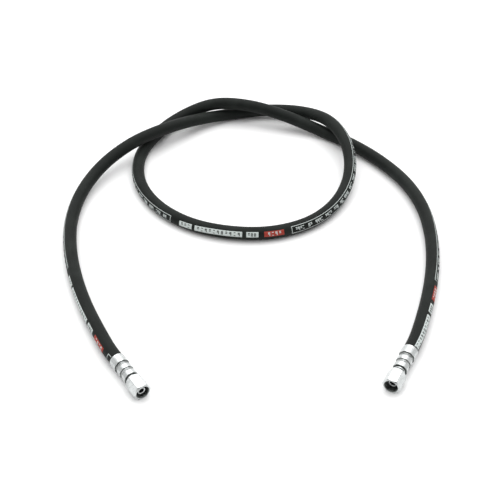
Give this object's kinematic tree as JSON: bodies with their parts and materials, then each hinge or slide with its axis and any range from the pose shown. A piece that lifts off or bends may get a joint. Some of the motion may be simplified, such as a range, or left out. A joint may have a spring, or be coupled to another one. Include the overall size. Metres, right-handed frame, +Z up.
{
  "type": "hydraulic hose assembly",
  "caption": "Flexible rubber-covered hydraulic hose lying in a loose overhand loop, with a crimped ferrule and a hexagonal swivel nut at each end.",
  "frame": {"origin": "on the surface that the hose lies on, midway between the end fittings in X and in Y", "axes": "+X from fitting a to fitting b, +Y away from the nuts towards the loop, +Z up"},
  "size_m": [0.4823, 0.5671, 0.0374],
  "materials": {
    "cover_rubber": "matt, fine wrapped texture",
    "tube_rubber": "smooth",
    "braid_wire": "brass-coated drawn wire",
    "zinc_plate": "bright zinc plate",
    "spring_wire": "drawn wire",
    "seal_rubber": "smooth, slightly shiny"
  },
  "bodies": {
    "hose_body": {"hose_cover": "cover_rubber", "hose_outer_braid": "braid_wire", "hose_interlayer": "tube_rubber", "hose_inner_braid": "braid_wire", "hose_inner_tube": "tube_rubber", "a_ferrule": "zinc_plate", "a_stem": "zinc_plate", "a_cone_oring": "seal_rubber", "b_ferrule": "zinc_plate", "b_stem": "zinc_plate", "b_cone_oring": "seal_rubber"},
    "a_wire_body": {"a_retaining_wire": "spring_wire"},
    "a_nut_body": {"a_swivel_nut": "zinc_plate"},
    "b_wire_body": {"b_retaining_wire": "spring_wire"},
    "b_nut_body": {"b_swivel_nut": "zinc_plate"}
  },
  "joints": [
    {"name": "a_nut_float", "type": "slide", "parent": "hose_body", "child": "a_wire_body", "axis": [0.5621, -0.8271, 0], "range_m": [0, 0.0024]},
    {"name": "a_nut_spin", "type": "hinge", "parent": "a_wire_body", "child": "a_nut_body", "pos_m": [-0.1668, 0.018, 0.0095], "axis": [0.5621, -0.8271, 0], "continuous": true},
    {"name": "b_nut_float", "type": "slide", "parent": "hose_body", "child": "b_wire_body", "axis": [-0.4509, -0.8926, 0], "range_m": [-0.0024, 0]},
    {"name": "b_nut_spin", "type": "hinge", "parent": "b_wire_body", "child": "b_nut_body", "pos_m": [0.166, 0.0324, 0.0095], "axis": [-0.4509, -0.8926, 0], "continuous": true}
  ]
}
